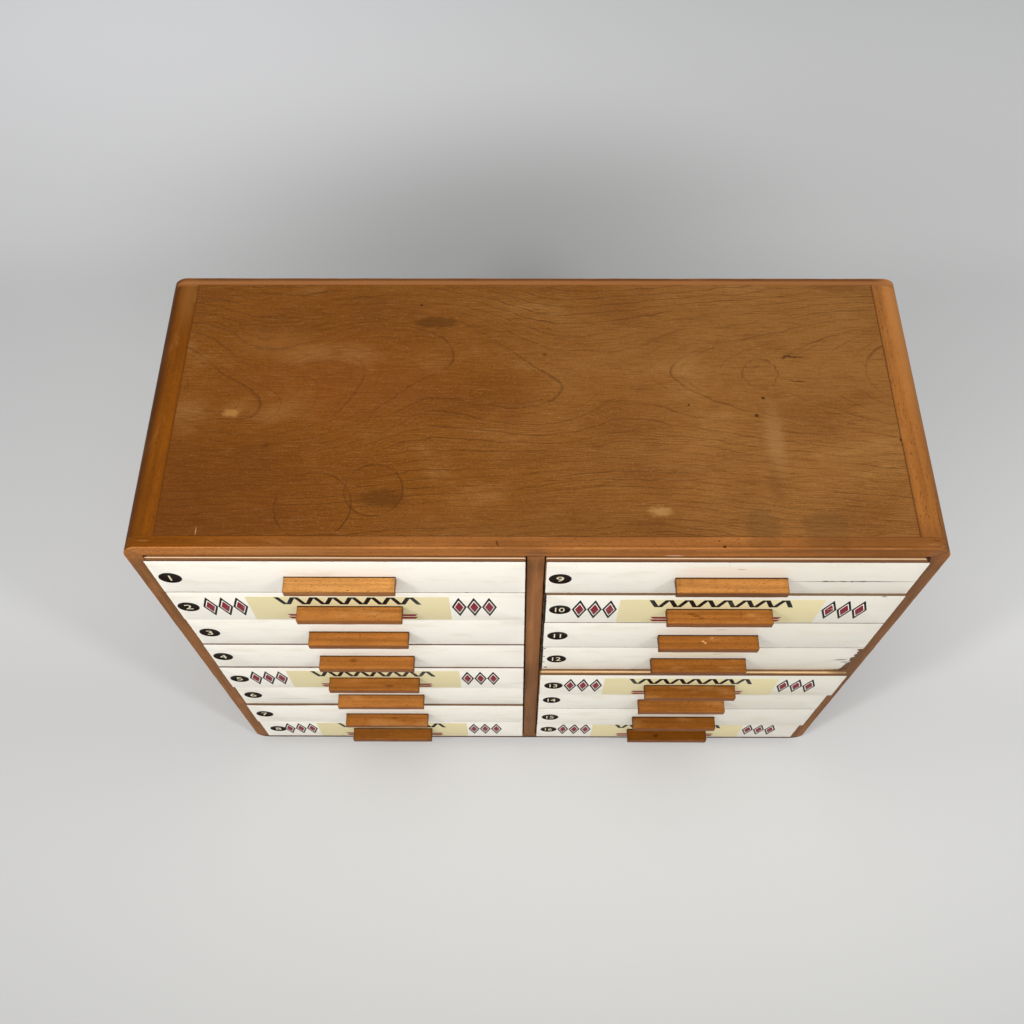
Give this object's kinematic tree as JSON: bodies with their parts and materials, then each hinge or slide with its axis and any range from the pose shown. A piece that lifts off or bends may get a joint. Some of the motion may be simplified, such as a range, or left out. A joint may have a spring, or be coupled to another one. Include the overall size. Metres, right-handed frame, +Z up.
{
  "type": "sewing cabinet",
  "caption": "Low wooden haberdashery cabinet with rounded corners, filled with shallow cream-fronted drawers on side runners, each with a wooden bar pull.",
  "frame": {"origin": "on the floor, under the middle of the carcass (edging to edging, without drawers and pulls)", "axes": "+X along the width to the right as seen from the front, -Y to the front where the drawers open, +Z up"},
  "size_m": [1, 0.4546, 0.79],
  "materials": {
    "veneer": "satin varnished veneer",
    "edging_wood": "satin varnished solid wood",
    "plywood": "bare plywood",
    "front_laminate": "plywood faced with cream laminate, semi-gloss",
    "drawer_wood": "bare solid wood",
    "pull_wood": "satin varnished wood"
  },
  "bodies": {
    "carcass": {"top_panel": "veneer", "bottom_panel": "veneer", "left_side_panel": "veneer", "right_side_panel": "veneer", "centre_divider": "veneer", "bottom_left_corner_block": "edging_wood", "top_left_corner_block": "edging_wood", "top_right_corner_block": "edging_wood", "bottom_right_corner_block": "edging_wood", "front_edging": "edging_wood", "back_edging": "edging_wood", "back_panel": "plywood"},
    "drawer_01": {"drawer_01_front": "front_laminate", "drawer_01_box": "drawer_wood", "drawer_01_pull": "pull_wood"},
    "drawer_02": {"drawer_02_front": "front_laminate", "drawer_02_box": "drawer_wood", "drawer_02_pull": "pull_wood"},
    "drawer_03": {"drawer_03_front": "front_laminate", "drawer_03_box": "drawer_wood", "drawer_03_pull": "pull_wood"},
    "drawer_04": {"drawer_04_front": "front_laminate", "drawer_04_box": "drawer_wood", "drawer_04_pull": "pull_wood"},
    "drawer_05": {"drawer_05_front": "front_laminate", "drawer_05_box": "drawer_wood", "drawer_05_pull": "pull_wood"},
    "drawer_06": {"drawer_06_front": "front_laminate", "drawer_06_box": "drawer_wood", "drawer_06_pull": "pull_wood"},
    "drawer_07": {"drawer_07_front": "front_laminate", "drawer_07_box": "drawer_wood", "drawer_07_pull": "pull_wood"},
    "drawer_08": {"drawer_08_front": "front_laminate", "drawer_08_box": "drawer_wood", "drawer_08_pull": "pull_wood"},
    "drawer_09": {"drawer_09_front": "front_laminate", "drawer_09_box": "drawer_wood", "drawer_09_pull": "pull_wood"},
    "drawer_10": {"drawer_10_front": "front_laminate", "drawer_10_box": "drawer_wood", "drawer_10_pull": "pull_wood"},
    "drawer_11": {"drawer_11_front": "front_laminate", "drawer_11_box": "drawer_wood", "drawer_11_pull": "pull_wood"},
    "drawer_12": {"drawer_12_front": "front_laminate", "drawer_12_box": "drawer_wood", "drawer_12_pull": "pull_wood"},
    "drawer_13": {"drawer_13_front": "front_laminate", "drawer_13_box": "drawer_wood", "drawer_13_pull": "pull_wood"},
    "drawer_14": {"drawer_14_front": "front_laminate", "drawer_14_box": "drawer_wood", "drawer_14_pull": "pull_wood"},
    "drawer_15": {"drawer_15_front": "front_laminate", "drawer_15_box": "drawer_wood", "drawer_15_pull": "pull_wood"},
    "drawer_16": {"drawer_16_front": "front_laminate", "drawer_16_box": "drawer_wood", "drawer_16_pull": "pull_wood"}
  },
  "joints": [
    {"name": "drawer_01_slide", "type": "slide", "parent": "carcass", "child": "drawer_01", "axis": [0, -1, 0], "range_m": [-0.00367, 0.29]},
    {"name": "drawer_02_slide", "type": "slide", "parent": "carcass", "child": "drawer_02", "axis": [0, -1, 0], "range_m": [-0.00337, 0.29]},
    {"name": "drawer_03_slide", "type": "slide", "parent": "carcass", "child": "drawer_03", "axis": [0, -1, 0], "range_m": [-0.0023, 0.29]},
    {"name": "drawer_04_slide", "type": "slide", "parent": "carcass", "child": "drawer_04", "axis": [0, -1, 0], "range_m": [-0.00337, 0.29]},
    {"name": "drawer_05_slide", "type": "slide", "parent": "carcass", "child": "drawer_05", "axis": [0, -1, 0], "range_m": [-0.00444, 0.29]},
    {"name": "drawer_06_slide", "type": "slide", "parent": "carcass", "child": "drawer_06", "axis": [0, -1, 0], "range_m": [-0.00076, 0.29]},
    {"name": "drawer_07_slide", "type": "slide", "parent": "carcass", "child": "drawer_07", "axis": [0, -1, 0], "range_m": [-0.00337, 0.29]},
    {"name": "drawer_08_slide", "type": "slide", "parent": "carcass", "child": "drawer_08", "axis": [0, -1, 0], "range_m": [-0.00092, 0.29]},
    {"name": "drawer_09_slide", "type": "slide", "parent": "carcass", "child": "drawer_09", "axis": [0, -1, 0], "range_m": [-0.00382, 0.29]},
    {"name": "drawer_10_slide", "type": "slide", "parent": "carcass", "child": "drawer_10", "axis": [0, -1, 0], "range_m": [-0.00627, 0.29]},
    {"name": "drawer_11_slide", "type": "slide", "parent": "carcass", "child": "drawer_11", "axis": [0, -1, 0], "range_m": [-0.00627, 0.29]},
    {"name": "drawer_12_slide", "type": "slide", "parent": "carcass", "child": "drawer_12", "axis": [0, -1, 0], "range_m": [-0.00597, 0.29]},
    {"name": "drawer_13_slide", "type": "slide", "parent": "carcass", "child": "drawer_13", "axis": [0, -1, 0], "range_m": [-0.0153, 0.29]},
    {"name": "drawer_14_slide", "type": "slide", "parent": "carcass", "child": "drawer_14", "axis": [0, -1, 0], "range_m": [-0.00796, 0.29]},
    {"name": "drawer_15_slide", "type": "slide", "parent": "carcass", "child": "drawer_15", "axis": [0, -1, 0], "range_m": [-0.00765, 0.29]},
    {"name": "drawer_16_slide", "type": "slide", "parent": "carcass", "child": "drawer_16", "axis": [0, -1, 0], "range_m": [-0.00107, 0.29]}
  ]
}
